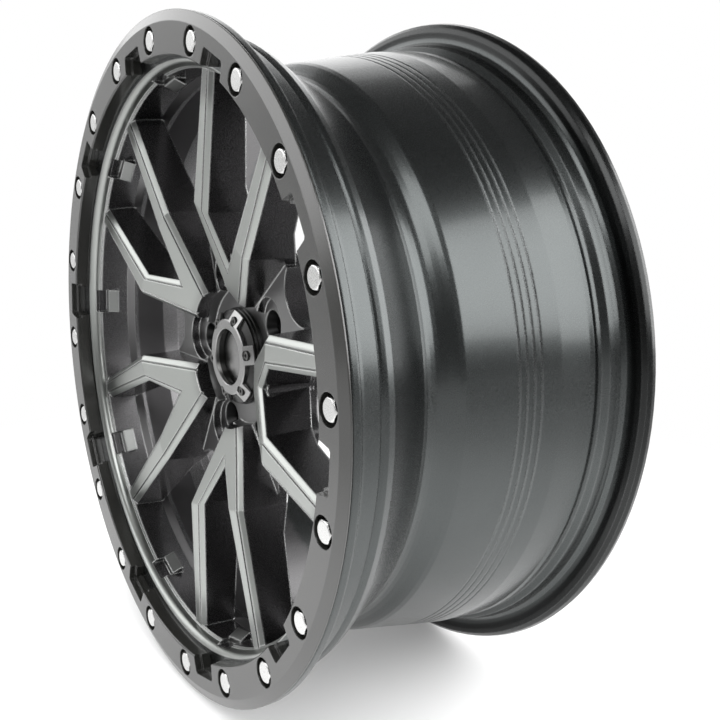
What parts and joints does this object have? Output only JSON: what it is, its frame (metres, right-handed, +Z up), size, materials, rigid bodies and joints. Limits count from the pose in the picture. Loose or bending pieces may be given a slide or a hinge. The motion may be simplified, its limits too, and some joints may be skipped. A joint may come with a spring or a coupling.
{
  "type": "alloy wheel",
  "caption": "Cast alloy road wheel with forked spokes, a bolted dark lip ring round the front of the rim and a snap-in centre cap.",
  "frame": {"origin": "centre of the hub mounting face, on the wheel axis", "axes": "+Y along the wheel axis towards the vehicle, -Y out of the visible face, +Z up"},
  "size_m": [0.497, 0.231, 0.4969],
  "materials": {
    "wheel": "satin gunmetal paint",
    "lip_ring": "satin black paint",
    "bright_bolts": "bright plated",
    "black_plastic": "satin",
    "cap_trim": "satin gunmetal",
    "black_screws": "black oxide",
    "badge": "plain",
    "spring_wire": "plain wire"
  },
  "bodies": {
    "root": {"wheel": "wheel", "lip_ring": "lip_ring", "lip_ring_bolts": "bright_bolts", "cap_base": "black_plastic", "cap_trim_ring": "cap_trim", "cap_screws": "black_screws", "cap_badge": "badge", "cap_retaining_ring": "spring_wire"}
  },
  "joints": []
}
